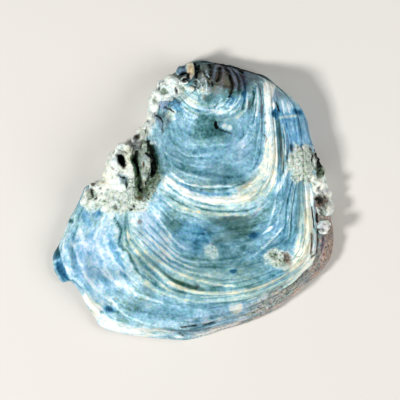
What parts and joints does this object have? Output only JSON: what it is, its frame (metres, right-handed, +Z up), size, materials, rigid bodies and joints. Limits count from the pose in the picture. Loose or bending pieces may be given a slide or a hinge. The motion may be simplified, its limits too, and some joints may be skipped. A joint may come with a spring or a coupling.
{
  "type": "fossil oyster shell",
  "caption": "Thick fossil oyster valve with a stepped, ridged outer face, crusts of cemented sediment and a smooth hollow underside.",
  "frame": {"origin": "centre of the bounding box in plan, on the plane that the rim of the valve lies on", "axes": "+Z up out of the outer face, +Y towards the hinge and beak, -Y towards the broad front edge, +X to the right seen from above"},
  "size_m": [0.0934, 0.0932, 0.0223],
  "materials": {
    "shell": "mineralised calcite, matt to slightly waxy",
    "crust": "cemented sandy sediment, rough and matt"
  },
  "bodies": {
    "root": {"oyster_valve": "shell"}
  },
  "joints": []
}
